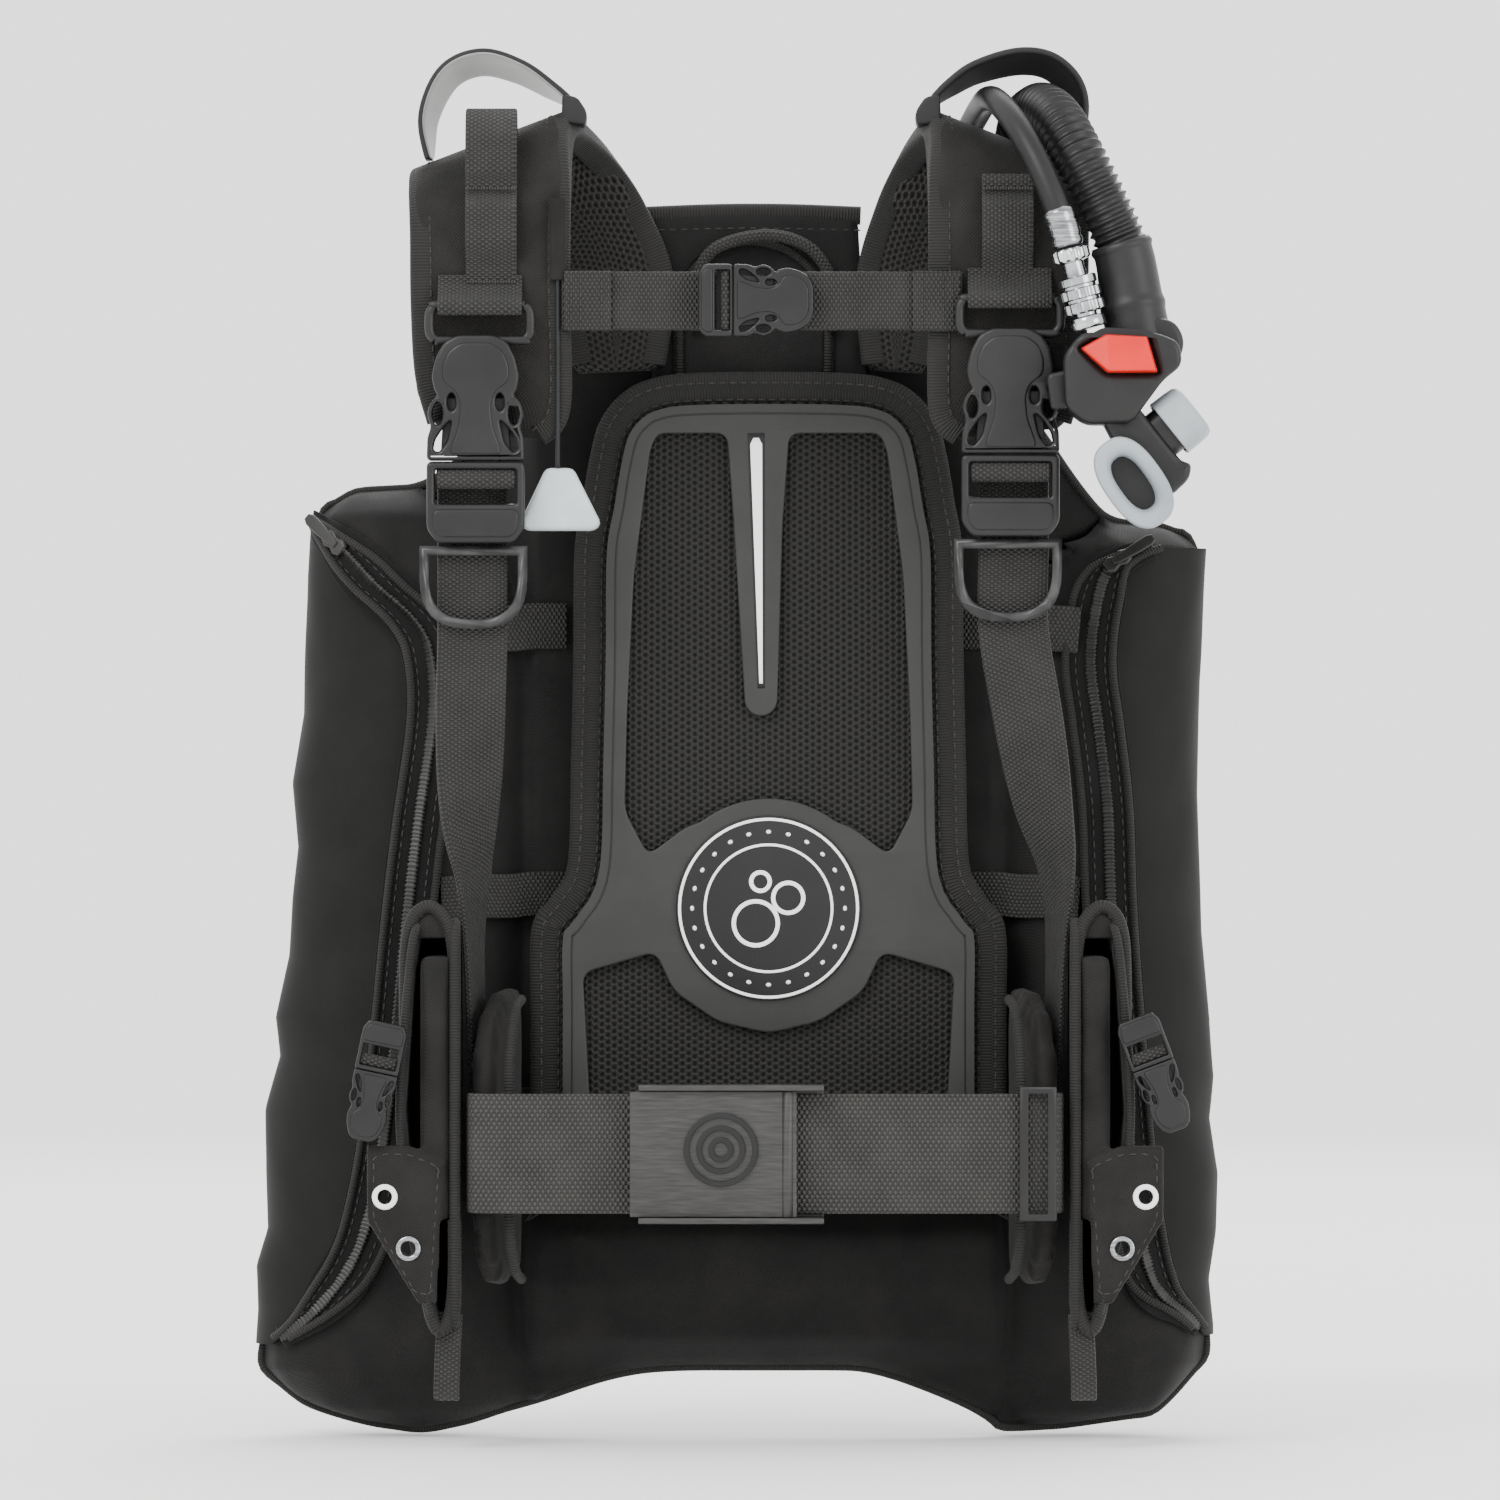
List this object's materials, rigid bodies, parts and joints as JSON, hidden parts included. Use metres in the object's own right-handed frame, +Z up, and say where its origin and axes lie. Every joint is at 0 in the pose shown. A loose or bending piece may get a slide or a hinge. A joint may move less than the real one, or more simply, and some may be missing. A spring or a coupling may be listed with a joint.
{
  "type": "buoyancy compensator vest",
  "caption": "Back-inflation diving buoyancy vest: air cell, backplate and pad, padded shoulder straps, cam-buckle belt, weight pockets, inflator and cylinder strap.",
  "frame": {"origin": "middle of the rear face of the cylinder seat", "axes": "+Z up along the wearer's back, +Y backwards towards the cylinder, +X towards the wearer's left side, where the inflator is"},
  "size_m": [0.4218, 0.339, 0.595],
  "materials": {
    "shell_nylon": "woven nylon, matt black",
    "side_fabric": "smooth black coated fabric",
    "pad_mesh": "spacer mesh over foam, charcoal",
    "strap_fabric": "woven nylon over foam",
    "webbing": "woven nylon webbing, charcoal",
    "plate_plastic": "moulded, textured",
    "frame_tpu": "moulded flexible plastic, satin",
    "badge_plastic": "moulded disc, satin",
    "buckle_plastic": "moulded acetal, satin black",
    "arch_rubber": "smooth rubber band",
    "seat_rubber": "ribbed rubber",
    "steel": "brushed stainless steel",
    "chrome": "polished chrome on brass",
    "buckle_steel": "grey coated steel",
    "hose_rubber": "moulded corrugated rubber",
    "lp_rubber": "smooth rubber hose",
    "inflator_plastic": "moulded, satin black",
    "button_red": "moulded, red",
    "button_grey": "moulded, light grey",
    "silicone_grey": "moulded silicone, grey",
    "toggle_grey": "moulded, pale grey",
    "cord": "braided cord, black",
    "pouch_fabric": "grey nylon with rubberised grip"
  },
  "bodies": {
    "root": {"tank_cradle": "seat_rubber", "backplate": "plate_plastic", "air_cell_center": "shell_nylon", "air_cell_left": "shell_nylon", "side_panel_left": "side_fabric", "air_cell_right": "shell_nylon", "side_panel_right": "side_fabric", "back_pad": "pad_mesh", "back_pad_frame": "frame_tpu", "badge": "badge_plastic", "yoke_panel": "shell_nylon", "grab_handle": "webbing", "shoulder_pad_left": "strap_fabric", "shoulder_arch_left": "arch_rubber", "gear_loops_left": "webbing", "shoulder_pad_right": "strap_fabric", "shoulder_arch_right": "arch_rubber", "gear_loops_right": "webbing", "shoulder_buckle_socket_left": "buckle_plastic", "shoulder_buckle_socket_right": "buckle_plastic", "shoulder_webbing_left": "webbing", "shoulder_webbing_right": "webbing", "sternum_buckle_socket": "buckle_plastic", "sternum_strap_left": "webbing", "sternum_strap_right": "webbing", "waist_belt_left": "webbing", "waist_belt_right": "webbing", "belt_buckle_frame": "buckle_steel", "belt_slider": "buckle_plastic", "hip_flap_left": "shell_nylon", "hip_flap_right": "shell_nylon", "weight_pocket_left": "shell_nylon", "weight_pocket_right": "shell_nylon", "pocket_buckle_socket_left": "buckle_plastic", "pocket_buckle_socket_right": "buckle_plastic", "tank_band": "webbing", "tank_buckle_frame": "buckle_plastic", "corrugated_hose": "hose_rubber", "lp_hose": "lp_rubber", "lp_hose_fitting": "steel"},
    "shoulder_clip_left": {"shoulder_buckle_clip_left": "buckle_plastic"},
    "shoulder_clip_right": {"shoulder_buckle_clip_right": "buckle_plastic"},
    "d_ring_left": {"d_ring_left": "steel"},
    "d_ring_right": {"d_ring_right": "steel"},
    "sternum_clip": {"sternum_buckle_clip": "buckle_plastic"},
    "belt_cam": {"belt_cam_plate": "buckle_steel"},
    "pouch_left": {"weight_pouch_left": "pouch_fabric"},
    "pouch_right": {"weight_pouch_right": "pouch_fabric"},
    "pocket_clip_left": {"pocket_buckle_clip_left": "buckle_plastic"},
    "pocket_clip_right": {"pocket_buckle_clip_right": "buckle_plastic"},
    "tank_lever": {"tank_buckle_lever": "buckle_plastic"},
    "inflator": {"inflator_body": "inflator_plastic", "mouthpiece_body": "inflator_plastic", "mouthpiece": "silicone_grey", "lp_coupling": "chrome"},
    "inflate_button": {"inflate_button": "button_red"},
    "deflate_button": {"deflate_button": "button_grey"},
    "collar": {"lp_collar": "chrome"},
    "dump_pull": {"dump_cord": "cord", "dump_toggle": "toggle_grey"}
  },
  "joints": [
    {"name": "shoulder_release_left", "type": "slide", "parent": "root", "child": "shoulder_clip_left", "axis": [0, 0, -1], "range_m": [0, 0.03], "stiffness_N_per_m": 150, "springref_m": -0.015},
    {"name": "shoulder_release_right", "type": "slide", "parent": "root", "child": "shoulder_clip_right", "axis": [0, 0, -1], "range_m": [0, 0.03], "stiffness_N_per_m": 150, "springref_m": -0.015},
    {"name": "d_ring_swing_left", "type": "hinge", "parent": "shoulder_clip_left", "child": "d_ring_left", "pos_m": [-0.1245, -0.0996, 0.0893], "axis": [-1, 0, 0], "range_deg": [0, 80]},
    {"name": "d_ring_swing_right", "type": "hinge", "parent": "shoulder_clip_right", "child": "d_ring_right", "pos_m": [0.1035, -0.0996, 0.0923], "axis": [-1, 0, 0], "range_deg": [0, 80]},
    {"name": "sternum_release", "type": "slide", "parent": "root", "child": "sternum_clip", "axis": [-1, 0, 0], "range_m": [0, 0.022]},
    {"name": "belt_cam_open", "type": "hinge", "parent": "root", "child": "belt_cam", "pos_m": [0.0095, -0.1188, -0.1675], "axis": [0, 0, 1], "range_deg": [0, 110]},
    {"name": "pouch_pull_left", "type": "slide", "parent": "root", "child": "pouch_left", "axis": [0, -1, 0], "range_m": [0, 0.08]},
    {"name": "pouch_pull_right", "type": "slide", "parent": "root", "child": "pouch_right", "axis": [0, -1, 0], "range_m": [0, 0.08]},
    {"name": "pocket_release_left", "type": "slide", "parent": "root", "child": "pocket_clip_left", "axis": [0.2085, 0, 0.978], "range_m": [0, 0.02]},
    {"name": "pocket_release_right", "type": "slide", "parent": "root", "child": "pocket_clip_right", "axis": [-0.3523, 0, 0.9359], "range_m": [0, 0.02]},
    {"name": "tank_lever_open", "type": "hinge", "parent": "root", "child": "tank_lever", "pos_m": [0.022, 0.1959, 0], "axis": [0, 0, -1], "range_deg": [0, 120]},
    {"name": "inflator_lift", "type": "hinge", "parent": "root", "child": "inflator", "pos_m": [0.12, -0.06, 0.279], "axis": [-1, 0, 0], "range_deg": [0, 40], "deforming": ["corrugated_hose", "lp_hose"]},
    {"name": "inflate_press", "type": "slide", "parent": "inflator", "child": "inflate_button", "axis": [0, 1, 0], "range_m": [0, 0.003], "stiffness_N_per_m": 900, "springref_m": -0.002},
    {"name": "deflate_press", "type": "slide", "parent": "inflator", "child": "deflate_button", "axis": [-0.7828, 0, -0.6222], "range_m": [0, 0.003], "stiffness_N_per_m": 900, "springref_m": -0.002},
    {"name": "collar_pull", "type": "slide", "parent": "inflator", "child": "collar", "axis": [-0.2552, 0, 0.9669], "range_m": [0, 0.005], "stiffness_N_per_m": 1200, "springref_m": -0.002},
    {"name": "dump_pull_down", "type": "slide", "parent": "root", "child": "dump_pull", "axis": [0, 0, -1], "range_m": [0, 0.02], "stiffness_N_per_m": 400, "springref_m": -0.002}
  ]
}
